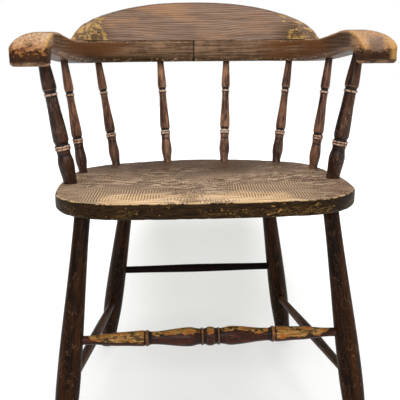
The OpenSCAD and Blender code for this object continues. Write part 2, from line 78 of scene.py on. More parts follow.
class Wire:
    """A shader socket that sums, products and other nodes are written with."""

    def __init__(self, tree, socket=None):
        self.tree = tree
        self.socket = socket

    def node(self, kind, sockets=(), out=0, **settings):
        """A new node of this kind, fed by wires or plain values, as the wire from its output."""
        made = self.tree.nodes.new("ShaderNode" + kind)
        for name, value in settings.items():
            setattr(made, name, value)
        for key, value in dict(sockets).items():
            if isinstance(value, Wire):
                self.tree.links.new(value.socket, made.inputs[key])
            else:
                made.inputs[key].default_value = value
        return Wire(self.tree, made.outputs[out])

    def math(self, operation, *values):
        """One sum on plain numbers, by the name of its operation."""
        return self.node("Math", enumerate(values), operation=operation)

    def __add__(self, other):
        return self.math("ADD", self, other)

    def __radd__(self, other):
        return self.math("ADD", other, self)

    def __sub__(self, other):
        return self.math("SUBTRACT", self, other)

    def __rsub__(self, other):
        return self.math("SUBTRACT", other, self)

    def __mul__(self, other):
        return self.math("MULTIPLY", self, other)

    def __rmul__(self, other):
        return self.math("MULTIPLY", other, self)


def tone(red, green, blue):
    """A paint or wood colour from its numbers on a 0 to 255 colour chart."""
    chart = (red / 255, green / 255, blue / 255)
    return tuple(c / 12.92 if c <= 0.04045 else ((c + 0.055) / 1.055) ** 2.4 for c in chart) + (1.0,)


def mix(share, first, second):
    """first where share is 0 and second where it is 1, for colours."""
    return share.node("Mix", {0: share, 6: first, 7: second}, out=2, data_type="RGBA")


SOOT = tone(12, 7, 5)


def shade(colour, share):
    """A colour darkened towards sooty black where share is below 1."""
    return mix(1 - share, colour, SOOT)


def step(value, low, high):
    """0 below low, 1 above high, and a smooth rise between them."""
    return value.node("MapRange", {"Value": value, "From Min": low, "From Max": high},
                      interpolation_type="SMOOTHSTEP")


def between(value, low, full, fading, high):
    """1 from full to fading, falling smoothly to 0 at low and at high."""
    return step(value, low, full) * (1 - step(value, fading, high))


def size_of(value):
    """How far a value lies from 0, either way."""
    return value.math("ABSOLUTE", value)


def waves(phase):
    """Even waves from 0 to 1 over a phase in radians."""
    return 0.5 + 0.5 * phase.math("SINE", phase)


class Finish:
    """A material, with the marks that its mesh carries.

    grain runs along, across and up the piece in metres; ridge and groove are 1 on its arrises and in its
    hollows; lift is 1 where it faces up; x, y and z are metres from the middle of the floor, and ahead is
    metres in front of it.
    """

    def __init__(self, name):
        self.material = bpy.data.materials.new(name)
        self.material.use_nodes = True
        self.tree = self.material.node_tree
        self.shader = self.tree.nodes["Principled BSDF"]
        self.start = Wire(self.tree)
        self.grain = self.start.node("Attribute", out="Vector", attribute_name="grain")
        self.ridge = self.start.node("Attribute", out="Fac", attribute_name="ridge")
        self.groove = self.start.node("Attribute", out="Fac", attribute_name="groove")
        self.lift = self.start.node("Attribute", out="Fac", attribute_name="lift")
        place = self.start.node("TexCoord", out="Object")
        self.place = place
        self.x, self.y, self.z = (place.node("SeparateXYZ", {0: place}, out=i) for i in range(3))
        self.ahead = 0.0 - self.y

    def stretched(self, scale, of=None, shift=(0.0, 0.0, 0.0)):
        """The grain's coordinates, scaled by so much per metre along, across and up."""
        of = of or self.grain
        moved = of.node("VectorMath", {0: of, 1: shift}, operation="ADD")
        return moved.node("VectorMath", {0: moved, 1: scale}, operation="MULTIPLY")

    def cloud(self, scale, detail=2.0, rough=0.5, warp=0.0, of=None, shift=(0.0, 0.0, 0.0)):
        """Uneven light and dark, 0 to 1, of so many patches per metre each way."""
        vector = self.stretched(scale, of, shift)
        return vector.node("TexNoise", {"Vector": vector, "Scale": 1.0, "Detail": detail, "Roughness": rough,
                                        "Distortion": warp})

    def figure(self, across, swirl, scale, of=None, shift=(0.0, 0.0, 0.0)):
        """Growth lines of a flat-sawn board: so many per metre up its face, pulled into long closed loops."""
        of = of or self.grain
        height = of.node("SeparateXYZ", {0: of}, out=2)
        pull = self.cloud(scale, detail=2.0, rough=0.4, of=of, shift=shift)
        return waves((height * across + pull * swirl) * (2 * math.pi))

    def beyond(self, edge):
        """How far a point lies out to either side, as 0 to 1 over the 50 mm beyond edge."""
        return step(size_of(self.x), edge, edge + 0.05)

    def done(self, colour, roughness, height, depth=0.0005, strength=0.6, shine=0.4, metal=0.0):
        """Wires up the shader. depth is the relief's in metres; shine is how strongly the finish mirrors."""
        self.tree.links.new(colour.socket, self.shader.inputs["Base Color"])
        self.tree.links.new(roughness.socket, self.shader.inputs["Roughness"])
        bump = height.node("Bump", {"Height": height, "Distance": depth, "Strength": strength}, out="Normal")
        self.tree.links.new(bump.socket, self.shader.inputs["Normal"])
        self.shader.inputs["Specular IOR Level"].default_value = shine
        self.shader.inputs["Metallic"].default_value = metal
        return self.material


# ---------------------------------------------------------------------------
# Finishes
# ---------------------------------------------------------------------------

# Heights over which the painted shade of the turned pieces begins under the bow, and over which their
# darkening ends above the seat
UNDER_BOW = (0.612, 0.640)
CLEAR_OF_SEAT = (0.45, 0.53)


def dark_paint(name, deep, warm, worn, bare, wear=0.6, chips=0.0, gloss=0.34, shine=0.1, scratches=0.0,
               shade_and_darkening=0.0, seat_darkening=0.4):
    """Old brown paint on turned wood: streaky, rubbed on its rings and flaked down to the wood.

    deep and warm are the paint's own colours, worn is where it is rubbed thin and also the rings' painted
    highlight, and bare is the wood.
    """
    f = Finish(name)
    fine = f.cloud((50, 600, 600), detail=3)
    broad = f.cloud((9, 80, 80), detail=3, rough=0.6, shift=(3, 1, 2))
    blotch = f.cloud((45, 45, 45), detail=4, rough=0.6, shift=(7, 5, 3))
    colour = mix(step(0.4 * fine + 0.6 * broad, 0.40, 0.62), deep, warm)
    hairs = f.cloud((22, 1300, 1300), detail=1, shift=(1, 9, 4))
    hair = step(hairs, 0.62, 0.72) * step(blotch, 0.42, 0.62)
    colour = mix(hair * 0.5 * wear, colour, worn)
    curl = f.cloud((26, 50, 50), detail=3, rough=0.5, warp=1.6, shift=(8, 3, 5)) - 0.5
    scratch = (1 - step(size_of(curl), 0.002, 0.009)) * step(blotch, 0.46, 0.56)
    colour = mix(scratch * scratches, colour, worn)
    # Painted shade under the bow, and a darkening towards the seat
    shade_and_dark = step(f.z, *UNDER_BOW) + seat_darkening * (1 - step(f.z, *CLEAR_OF_SEAT))
    colour = shade(colour, 1 - shade_and_darkening * shade_and_dark)
    # The rings are rubbed pale, and the pale also paints their highlights
    rub = step(f.ridge + 0.3 * blotch, 0.66, 0.9) * wear
    colour = mix(rub, colour, worn)
    colour = shade(colour, 1 - 0.95 * step(f.groove, 0.1, 0.6))

    # Chips down to the wood, each with a painted shadow along its rim of broken paint
    flakes = f.cloud((110, 300, 300), detail=5, rough=0.65, shift=(5, 2, 8))
    reach = flakes + 0.12 * f.ridge + 0.24 * (blotch - 0.5) + chips
    rim = step(reach, 0.655, 0.675)
    chip = step(reach, 0.685, 0.70)
    colour = shade(colour, 1 - 0.55 * (rim - chip))
    colour = mix(chip, colour, mix(fine, bare, tone(100, 62, 32)))
    height = fine * 0.3 + 0.2 * blotch - chip * 0.9
    rough = gloss + 0.2 * (1 - fine) + 0.3 * chip + 0.15 * rub
    return f.done(colour, rough, height, strength=0.8, shine=shine)


def seat_ground(f, fine, blotch, rear):
    """The seat top's brown paint, darker behind the sitter with painted shade under the chair's back, and
    rubbed to gold along its front.
    """
    patchy = f.cloud((22, 34, 34), detail=5, rough=0.65, shift=(4, 4, 4))
    streaks = f.cloud((11, 190, 190), detail=4, rough=0.6, shift=(6, 6, 2))
    grainy = 0.5 * fine + 0.5 * streaks
    brown = mix(step(grainy, 0.38, 0.62), tone(72, 49, 32), tone(164, 140, 116))
    brown = mix(step(blotch, 0.48, 0.66) * 0.6, brown, tone(150, 126, 106))
    brown = mix(step(f.ahead, -0.12, 0.0) * 0.45, brown, tone(176, 148, 120))
    # Painted shade under the chair's back, deepest in the middle
    middle = 1 - f.beyond(0.10)
    brown = mix(rear * (0.45 + 0.35 * middle), brown, tone(76, 54, 38))
    east = step(f.x, 0.16, 0.21)
    brown = mix(east * 0.5, brown, tone(124, 92, 76))
    gold = mix(step(grainy, 0.4, 0.6), tone(172, 132, 92), tone(238, 206, 164))
    reach = step(f.ahead, 0.09, 0.21) - 0.9 * step(size_of(f.x + 0.02), 0.12, 0.19)
    reach = reach + 1.5 * (patchy - 0.5)
    return mix(step(reach, 0.35, 0.80), brown, gold)


def seat_combing(f, wobble):
    """Combed lines, upright on the left and fanning out on the right, where broken patches of them
    remain, and where the combed sides are as a whole."""
    east_side = step(f.x, -0.03, 0.0)
    lines = waves(f.x * 1350 - f.y * 40 + wobble * 4)
    fans = waves(f.x * 1350 - f.y * 90 + wobble * 5)
    comb = lines * (1 - east_side) + fans * east_side
    patch = 0.15 + 0.85 * step(f.cloud((24, 36, 36), detail=3, shift=(2, 7, 5)), 0.38, 0.52)
    left = between(f.x, -0.215, -0.195, -0.09, -0.06) * step(f.ahead, 0.10, 0.13)
    right = between(f.x, 0.03, 0.06, 0.15, 0.19) * step(f.ahead, 0.05, 0.08)
    sides = left + right
    zone = sides * (1 - step(f.ahead, 0.205, 0.228)) * patch
    return comb, zone, sides


def seat_figure(f, base, gap, rear, wobble):
    """Loops of figure in the gap between the combed sides, and brushed strokes across them."""
    pull = f.cloud((20, 30, 30), detail=4, rough=0.6, shift=(3, 8, 4))
    loops = waves(f.y * 260 + pull * 30)
    swirls = step(f.cloud((9, 14, 14), detail=3, shift=(7, 2, 9)), 0.40, 0.56) * gap
    base = mix(step(loops, 0.35, 0.85) * swirls * 0.55, base, tone(80, 54, 34))
    # Fewer pale loops in the painted shade behind
    base = mix((1 - step(loops, 0.15, 0.6)) * swirls * 0.5 * (1 - 0.85 * rear), base, tone(212, 184, 152))
    strokes = waves(f.x * 1300 - f.y * 60 + wobble * 26)
    brushed = step(f.cloud((20, 26, 26), detail=3, shift=(9, 9, 2)), 0.46, 0.54) * gap
    return mix(step(strokes, 0.45, 0.85) * brushed * 0.65, base, tone(70, 46, 30))


def seat_edge(f, fine, blotch):
    """The plank's edge: dark paint, with its gold flakes and the broken squiggle rubbed along it."""
    deep = mix(step(fine, 0.35, 0.65), tone(18, 9, 2), tone(52, 34, 14))
    deep = shade(deep, 1 - 0.35 * step(f.x, 0.17, 0.22))
    squiggle = f.cloud((60, 60, 150), detail=5, rough=0.6, warp=0.6, of=f.place, shift=(3, 2, 1))
    line = between(squiggle, 0.49, 0.51, 0.52, 0.54) * between(f.z, 0.401, 0.406, 0.414, 0.419)
    scab = f.cloud((110, 110, 200), detail=5, rough=0.7, of=f.place, shift=(9, 4, 6))
    more = step(f.x, -0.02, 0.04) * 0.05 - step(f.x, 0.17, 0.21) * 0.07
    flake = step(scab + more, 0.645, 0.665)
    edge = mix(line * step(blotch, 0.42, 0.56) * 0.6, deep, tone(142, 108, 58))
    edge = mix(flake * 0.8, edge, tone(150, 112, 58))
    return edge, flake, line


def seat_finish():
    """A combed seat top, rubbed to gold along its front, with a dark, chipped edge."""
    f = Finish("seat_combed_paint")
    top = step(f.lift, 0.55, 0.9)
    blotch = f.cloud((14, 14, 14), detail=4, rough=0.55, shift=(1, 2, 3))
    fine = f.cloud((40, 500, 500), detail=4)
    wobble = f.cloud((40, 40, 40), detail=2, shift=(8, 1, 6))
    # Painted shade under the chair's back, behind the sitter
    rear = 1 - step(f.ahead, -0.12, 0.03)
    base = seat_ground(f, fine, blotch, rear)
    comb, zone, sides = seat_combing(f, wobble)
    base = mix(step(comb, 0.45, 0.8) * zone * 0.7, base, tone(98, 66, 40))
    base = mix((1 - step(comb, 0.15, 0.45)) * zone * 0.45, base, tone(230, 200, 160))
    base = seat_figure(f, base, 1 - sides, rear, wobble)
    edge, flake, line = seat_edge(f, fine, blotch)
    colour = mix(top, edge, base)

    # The upper arris is rubbed to bare wood in front
    arris = step(f.ridge, 0.45, 0.75) * step(f.z, 0.4245, 0.4272) * step(f.ahead, 0.02, 0.12)
    nick = step(f.cloud((60, 60, 60), detail=4, rough=0.6, of=f.place), 0.44, 0.54)
    colour = mix(arris * nick * 0.8, colour, tone(214, 180, 130))
    height = fine * 0.3 + comb * 0.5 * top * zone - (flake + line) * (1 - top) * 0.8
    rough = 0.46 + 0.14 * blotch + 0.15 * zone * top + 0.1 * flake
    return f.done(colour, rough, height, strength=0.5, shine=0.07)


def handhold(f, streak, blotch, band):
    """A handhold's rubbed wood, and the dark scabs of paint that lie thickest low on its roll."""
    right = step(f.x, 0.0, 0.1)
    pale = mix(step(streak, 0.35, 0.60), tone(138, 98, 64), tone(206, 168, 130))
    pale = mix(step(blotch, 0.5, 0.64) * 0.5, pale, tone(216, 184, 150))
    pale = mix(right * 0.45, pale, tone(164, 116, 72))
    level_z = f.z + 0.012 * right + 0.016 * (blotch - 0.5)
    drop = 1 - step(level_z, 0.655, 0.683)
    skin = mix(drop, pale, mix(step(blotch, 0.4, 0.6), tone(104, 60, 26), tone(158, 102, 54)))
    scabs = f.cloud((150, 150, 260), detail=6, rough=0.8, warp=0.3, of=f.place, shift=(2, 3, 7))
    scabs = scabs + 0.26 * (f.cloud((35, 35, 50), detail=2, of=f.place, shift=(6, 1, 2)) - 0.5)
    low = (0.10 + 0.07 * right) * (1 - step(f.z, 0.642, 0.664))
    scab = step(scabs + 0.17 * drop + low, 0.645, 0.675)
    skin = mix(scab * 0.92, skin, tone(34, 17, 6))
    worn_x = f.x + 0.03 * (band - 0.5) + 0.02 * (blotch - 0.5)
    bruise = between(worn_x, 0.257, 0.265, 0.283, 0.292) * between(level_z, 0.660, 0.670, 0.683, 0.695)
    skin = mix(bruise * 0.8, skin, tone(110, 92, 80))
    gilt = step(f.ridge + 0.5 * (blotch - 0.5), 0.55, 0.8) + step(f.x, 0.294, 0.304)
    skin = mix(gilt * 0.6, skin, tone(204, 156, 84))
    # Painted shade along the block's lower arris
    foot = 1 - step(f.z, 0.633, 0.639)
    return mix(foot * 0.85, skin, tone(40, 26, 14)), scab


def rail_finish():
    """The bow: brown varnish over wood, orange in its corners, bare and scabbed on its handholds."""
    f = Finish("rail_rubbed_paint")
    streak = f.cloud((14, 380, 380), detail=4, rough=0.6)
    band = f.cloud((5, 60, 60), detail=3, shift=(2, 2, 9))
    blotch = f.cloud((40, 40, 40), detail=4, rough=0.6, shift=(5, 6, 1))
    lines = f.figure(150, 3.0, (7, 24, 24), shift=(3, 1, 5))
    colour = mix(step(0.7 * streak + 0.3 * blotch, 0.36, 0.64), tone(68, 44, 27), tone(144, 113, 86))
    corner = f.beyond(0.12) * (1 - step(f.ahead, -0.02, 0.06))
    colour = mix(corner * step(band, 0.3, 0.55) * 0.85, colour, tone(102, 61, 29))
    west = 1 - step(f.x, -0.08, -0.02)
    under = (1 - step(f.z, 0.638, 0.660)) * (1 - step(f.ahead, -0.05, 0.0))
    colour = mix(under * (0.45 + 0.5 * west) * step(band + 0.2 * blotch, 0.4, 0.58), colour, tone(46, 30, 6))
    arms = step(f.ahead, -0.06, 0.02)
    figured = step(lines, 0.55, 0.95) * (0.18 + 0.4 * arms) * step(streak, 0.3, 0.6)
    colour = mix(figured, colour, tone(40, 26, 14))
    colour = mix((1 - step(lines, 0.05, 0.4)) * 0.35 * arms, colour, tone(130, 104, 80))
    east = step(f.x, 0.18, 0.24) * arms
    colour = shade(colour, 1 - 0.46 * east)

    # Its upper face is bleached and its arrises are rubbed, with crumbs of filler along the back's
    crown = step(f.lift, 0.3, 0.85)
    bleached = mix(step(0.6 * streak + 0.4 * blotch, 0.4, 0.6), tone(104, 74, 52), tone(190, 152, 120))
    colour = mix(crown * 0.75, colour, bleached)
    colour = mix(step(lines, 0.6, 0.95) * crown * 0.4, colour, tone(74, 50, 34))
    colour = shade(colour, 1 - 0.2 * f.groove)
    rub = step(f.ridge + 0.5 * blotch, 0.62, 0.9)
    colour = mix(rub * (0.08 + 0.5 * arms), colour, tone(186, 142, 100))
    crumbs = step(f.cloud((130, 130, 260), detail=4, rough=0.6, of=f.place, shift=(4, 4, 1)), 0.58, 0.62)
    crumbs = crumbs * step(f.ridge, 0.25, 0.5) * (1 - arms) * (0.8 - 0.45 * step(f.z, 0.655, 0.665))
    colour = mix(crumbs, colour, tone(190, 168, 134))

    # The joint behind the sitter has opened into a ragged crack
    jag = f.cloud((90, 90, 420), detail=4, rough=0.6, of=f.place, shift=(1, 5, 2))
    apart = (f.x + 0.006 * (jag - 0.5)) * (1 - arms) + arms
    gape = 0.0012 * (1 - step(f.z, 0.637, 0.650))
    split = 1 - step(size_of(apart) - gape, 0.0007, 0.0024)
    colour = mix(split * 0.92, colour, tone(12, 6, 3))

    # Handholds: the paint is gone from the roll's top and clings in dark scabs lower down
    hand = step(f.ahead, 0.075, 0.115) * step(f.lift + 5 * f.ahead, 0.35, 0.75)
    skin, scab = handhold(f, streak, blotch, band)
    colour = mix(hand, colour, skin)
    height = streak * 0.35 + lines * 0.15 + scab * hand * 0.9 - split * 0.8
    rough = 0.40 + 0.15 * blotch + 0.15 * hand
    return f.done(colour, rough, height, depth=0.0006, strength=0.6, shine=0.12)


def crest_finish():
    """The crest: faded brown with flat-sawn figure, and gold bare wood at its ends."""
    f = Finish("crest_faded_paint")
    streak = f.cloud((9, 420, 420), detail=5, rough=0.7)
    hairs = f.cloud((16, 900, 900), detail=2, shift=(3, 3, 8))
    blotch = f.cloud((9, 34, 34), detail=4, rough=0.6, shift=(5, 6, 1))
    lines = f.figure(215, 9.0, (4, 11, 11), of=f.place, shift=(1.3, 0.4, 0.7))
    colour = mix(step(streak, 0.33, 0.68), tone(104, 80, 66), tone(154, 128, 110))
    west = 1 - step(f.x, -0.06, 0.02)
    colour = mix(step(blotch, 0.46, 0.64) * (0.35 + 0.4 * west), colour, tone(168, 126, 92))
    broken = step(hairs, 0.36, 0.58)
    colour = mix(step(lines, 0.6, 0.97) * (0.3 + 0.7 * broken) * 0.5, colour, tone(76, 52, 38))
    colour = mix((1 - step(lines, 0.03, 0.4)) * broken * 0.3, colour, tone(178, 150, 126))
    colour = mix(step(hairs, 0.6, 0.7) * 0.4, colour, tone(70, 48, 36))
    patches = f.cloud((40, 70, 70), detail=4, rough=0.6, shift=(2, 8, 3))
    outer = f.beyond(0.15)
    olive = outer * (1 - step(f.z, 0.69, 0.72))
    colour = mix(olive * 0.6, colour, tone(74, 54, 24))
    near = f.beyond(0.155)
    normal = f.start.node("NewGeometry", out="Normal")
    front = step(0.0 - normal.node("SeparateXYZ", {0: normal}, out=1), -0.1, 0.25)
    gold = front * step(near, 0.0, 0.3) * step(patches + 0.14 * near + 0.16 * f.ridge, 0.66, 0.70)
    colour = mix(gold * 0.85, colour, mix(step(streak, 0.35, 0.65), tone(150, 106, 44), tone(216, 182, 118)))
    rub = step(f.ridge + 0.4 * patches, 0.42, 0.8)
    colour = mix(rub * 0.6, colour, tone(92, 74, 60))
    height = streak * 0.4 + lines * 0.25 - gold * 0.4
    rough = 0.46 + 0.14 * blotch
    return f.done(colour, rough, height, depth=0.0004, strength=0.5, shine=0.1)


def foot_rest_finish():
    """The front stretcher: rubbed to bare gold wood on top, dark red-brown paint underneath."""
    f = Finish("stretcher_rubbed_paint")
    streak = f.cloud((40, 420, 420), detail=4, rough=0.6)
    blotch = f.cloud((70, 110, 110), detail=4, rough=0.65, shift=(3, 3, 3))
    dark = mix(step(streak, 0.35, 0.65), tone(22, 8, 2), tone(64, 27, 11))
    dark = mix(step(blotch, 0.54, 0.64) * 0.6, dark, tone(82, 40, 18))
    bare = mix(step(streak, 0.35, 0.65), tone(98, 66, 26), tone(172, 134, 74))
    bare = mix(step(blotch, 0.52, 0.62) * 0.8, bare, tone(146, 76, 20))
    bare = mix((1 - step(blotch, 0.41, 0.49)) * 0.85, bare, tone(50, 26, 8))
    plain = step(size_of(f.x), 0.10, 0.112)
    near = f.beyond(0.175)
    reach = f.lift - 0.1 + 2.0 * (blotch - 0.53) + 0.85 * plain - 1.9 * near
    rub = step(reach, 0.50, 0.64)
    colour = mix(rub, dark, bare)
    rim = step(reach, 0.36, 0.50) - rub
    colour = shade(colour, 1 - 0.4 * rim)
    colour = mix(step(f.ridge + 0.3 * blotch, 0.66, 0.9) * 0.5, colour, tone(122, 80, 52))
    colour = shade(colour, 1 - 0.9 * step(f.groove, 0.08, 0.5))
    height = streak * 0.3 - rub * 0.7
    rough = 0.30 + 0.25 * rub + 0.15 * blotch
    return f.done(colour, rough, height, strength=0.6, shine=0.15)


def screw_finish():
    """Steel gone brown with age."""
    f = Finish("screw_steel_rusted")
    rust = f.cloud((900, 900, 900), detail=4, of=f.place)
    colour = mix(step(rust, 0.42, 0.6), tone(120, 116, 112), tone(92, 52, 30))
    rough = 0.35 + 0.4 * step(rust, 0.42, 0.6)
    return f.done(colour, rough, rust, depth=0.0002, strength=0.5, shine=0.5, metal=0.8)


# ---------------------------------------------------------------------------
# Surfaces over rings of points, in millimetres until they become a mesh
# ---------------------------------------------------------------------------

def smooth(share):
    """An even rise from 0 to 1 without corners."""
    share = np.clip(share, 0.0, 1.0)
    return share * share * (3 - 2 * share)


def finer(rings, longest):
    """Rings with points added around them until no step is longer than given."""
    steps = np.linalg.norm(np.roll(rings, -1, 1) - rings, axis=2).max(0)
    parts = []
    for i, length in enumerate(steps):
        count = max(1, int(math.ceil(length / longest)))
        here, there = rings[:, i], rings[:, (i + 1) % rings.shape[1]]
        parts += [here + (there - here) * k / count for k in range(count)]
    return np.stack(parts, 1)


def outward(rings):
    """The outward direction at each point, and whether the rings turn the other way round."""
    around = np.roll(rings, -1, 1) - np.roll(rings, 1, 1)
    along = np.gradient(rings, axis=0)
    out = np.cross(around, along)
    out /= np.maximum(np.linalg.norm(out, axis=2, keepdims=True), 1e-9)
    inside = ((rings - rings.mean(1, keepdims=True)) * out).sum() < 0
    return (-out if inside else out), inside


def bend(before, here, after, out):
    """How sharply a line of points bulges outwards, per millimetre."""
    first, second = here - before, after - here
    a = np.maximum(np.linalg.norm(first, axis=2), 0.3)
    b = np.maximum(np.linalg.norm(second, axis=2), 0.3)
    change = second / b[..., None] - first / a[..., None]
    return -2 * (change * out).sum(2) / (a + b)


def softened(marks, times):
    """Marks spread a little over their neighbours, as often as given."""
    for _ in range(times):
        ends = np.concatenate([marks[:1], marks, marks[-1:]])
        marks = (ends[:-2] + 2 * marks + ends[2:]) / 4
        marks = (np.roll(marks, 1, 1) + 2 * marks + np.roll(marks, -1, 1)) / 4
    return marks


def wavering(points, size, seed):
    """Smooth random numbers from 0 to 1 over points, of patches of the given size."""
    flat = points.reshape(-1, 3) / size + seed
    return np.array([0.5 + 0.5 * noise.noise(Vector(p)) for p in flat]).reshape(points.shape[:-1])


# A knock's radius, and its depth as a share of the deepest
KNOCK_REACH = (1.8, 5.0)
KNOCK_SHARE = (0.3, 1.0)


def dents(points, count, largest, rng):
    """Depths of small knocks spread over points."""
    flat = points.reshape(-1, 3)
    depth = np.zeros(len(flat))
    for _ in range(count):
        centre = flat[rng.integers(len(flat))]
        reach = rng.uniform(*KNOCK_REACH)
        near = 1 - ((flat - centre) ** 2).sum(1) / reach ** 2
        depth = np.maximum(depth, rng.uniform(*KNOCK_SHARE) * largest * np.clip(near, 0, 1) ** 2)
    return depth.reshape(points.shape[:-1])


# How sharply a surface bends, per millimetre, where it counts as a full arris or a full hollow
ARRIS_BEND, HOLLOW_BEND = 0.22, 0.12
# Size of the patches in which arrises are scraped, and of the slow waves of an old surface
SCRAPE_PATCH, WAVE_PATCH = 14.0, 45.0
WAVE_DEPTH, KNOCK_DEPTH = 0.35, 0.8
# Faces that meet at more degrees than this keep a crisp edge
SHARP_ANGLE = 55


def listed(values, ends):
    """Values over rings as one row a point, followed by those of the two end points."""
    return np.concatenate([values.reshape(-1, *values.shape[2:]), ends])


def ring_faces(count, size):
    """Quads between count rings of size points, and a fan of triangles over each end."""
    at = np.arange(count * size).reshape(count, size)
    after = np.roll(at, -1, 1)
    quads = np.stack([at[:-1], after[:-1], after[1:], at[1:]], -1).reshape(-1, 4)
    first, last = count * size, count * size + 1
    low = [(first, b, a) for a, b in zip(at[0].tolist(), after[0].tolist())]
    high = [(last, a, b) for a, b in zip(at[-1].tolist(), after[-1].tolist())]
    return [tuple(quad) for quad in quads.tolist()] + low + high


def build(name, rings, grain, finish, node, seed, turned=False, knocks=12, wear=0.7):
    """Makes the aged mesh of one piece from its rings, and lets it stand for its node."""
    rng = np.random.default_rng(seed)
    out, reverse = outward(rings)
    padded = np.concatenate([2 * rings[:1] - rings[1:2], rings, 2 * rings[-1:] - rings[-2:-1]])
    along = bend(padded[:-2], rings, padded[2:], out)
    around = bend(np.roll(rings, 1, 1), rings, np.roll(rings, -1, 1), out)
    bulge = along if turned else np.maximum(along, around)
    soft = 1 if turned else 3
    ridge = softened(np.clip(bulge / ARRIS_BEND, 0, 1), soft)
    groove = np.clip(softened(np.clip(-along / HOLLOW_BEND, 0, 1), soft + 1) * 1.6, 0, 1)

    # Worn down: slow waves, knocks and scraped arrises, never out of the CAD's surface or into the floor
    depth = WAVE_DEPTH * wavering(rings, WAVE_PATCH, seed + 3) + dents(rings, knocks, KNOCK_DEPTH, rng)
    depth += wear * ridge * smooth((wavering(rings, SCRAPE_PATCH, seed) - 0.35) / 0.4)
    aged = rings - out * depth[..., None]
    aged[..., 2] = np.maximum(aged[..., 2], 0.0)

    faces = ring_faces(*rings.shape[:2])
    if reverse:
        faces = [face[::-1] for face in faces]
    points = listed(aged, [aged[0].mean(0), aged[-1].mean(0)]) / 1000
    mesh = bpy.data.meshes.new(name)
    mesh.from_pydata(points.tolist(), [], faces)
    mesh.update()
    ends_lift = [out[0, :, 2].mean(), out[-1, :, 2].mean()]
    for label, values, ends in (("ridge", ridge, [0, 0]), ("groove", groove, [0, 0]),
                                ("lift", out[..., 2], ends_lift)):
        layer = mesh.attributes.new(label, "FLOAT", "POINT")
        layer.data.foreach_set("value", listed(values, ends).astype(np.float32))
    offset = rng.uniform(0.0, 4000.0, 3)
    layer = mesh.attributes.new("grain", "FLOAT_VECTOR", "POINT")
    flow = listed(grain, [grain[0].mean(0), grain[-1].mean(0)]) + offset
    layer.data.foreach_set("vector", (flow / 1000).astype(np.float32).ravel())
    mesh.polygons.foreach_set("use_smooth", np.ones(len(mesh.polygons), bool))
    mesh.set_sharp_from_angle(angle=math.radians(SHARP_ANGLE))
    mesh.materials.append(finish)
    piece = bpy.data.objects.new(name, mesh)
    bpy.context.scene.collection.objects.link(piece)
    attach(piece, "root")
    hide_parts(node)


# ---------------------------------------------------------------------------
# Turned pieces
# ---------------------------------------------------------------------------

def lathe(stations, radii, foot, axis, sides):
    """Rings around an axis through foot, and their grain: along the axis and across it."""
    across = np.cross(axis, (0.0, 1.0, 0.0) if abs(axis[1]) < 0.8 else (1.0, 0.0, 0.0))
    across /= np.linalg.norm(across)
    third = np.cross(axis, across)
    turn = np.linspace(0, 2 * math.pi, sides, endpoint=False)
    u = radii[:, None] * np.cos(turn)
    v = radii[:, None] * np.sin(turn)
    rings = foot + stations[:, None, None] * axis + u[..., None] * across + v[..., None] * third
    grain = np.stack([np.broadcast_to(stations[:, None], u.shape), u, v], -1)
    return rings, grain


def filled(stations, radii, longest=2.0):
    """Stations with more put in where they stand far apart."""
    where = [stations[0]]
    for a, b in zip(stations[:-1], stations[1:]):
        count = max(1, int(math.ceil((b - a) / longest)))
        where += [a + (b - a) * (k + 1) / count for k in range(count)]
    where = np.array(where)
    return where, np.interp(where, stations, radii)


# Points closer together than this along the axis lie on one circle, which has at least so many of them
SAME_STATION, FEWEST_AROUND = 0.02, 12


def turning_of(node):
    """The middle, axis, stations and radii of a turned CAD node, read from its circles."""
    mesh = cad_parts[node].data
    points = np.unique(np.round([v.co[:] for v in mesh.vertices], 5), axis=0) * 1000
    middle = points.mean(0)
    axis = np.linalg.svd(points - middle, full_matrices=False)[2][0]
    axis *= np.sign(axis[np.argmax(np.abs(axis))])
    height = (points - middle) @ axis
    radius = np.linalg.norm(points - middle - height[:, None] * axis, axis=1)
    order = np.argsort(height)
    height, radius = height[order], radius[order]
    groups = np.split(np.arange(len(height)), np.where(np.diff(height) > SAME_STATION)[0] + 1)
    kept = [(height[g].mean(), radius[g].max()) for g in groups if len(g) >= FEWEST_AROUND]
    stations, radii = np.array(kept).T
    return middle, axis, stations, radii


def add_turned(node, finish, seed, sides=40):
    """A post, spindle or stretcher, turned as its CAD node is."""
    middle, axis, stations, radii = turning_of(node)
    stations, radii = filled(stations, radii)
    rings, grain = lathe(stations, radii, middle, axis, sides)
    build(node + "_aged", rings, grain, finish, node, seed, turned=True)


SEAT_TOP, SEAT_T = 428.0, 28.0
# A leg's diameters, the heights along it of its belly and of its straight foot, its straight collar below
# the seat, and the wood left over its socket
LEG_TOP, LEG_BELLY, LEG_FOOT = 27.0, 40.0, 33.0
BELLY_H, STRAIGHT_H, LEG_COLLAR, ROOF = 118.0, 12.0, 12.0, 8.0
# Where the legs' lines cross the seat's top and the floor
LEG_LINES = {"front": ((203.0, -161.0), (250.0, -237.0)), "rear": ((134.0, 101.0), (204.0, 214.0))}


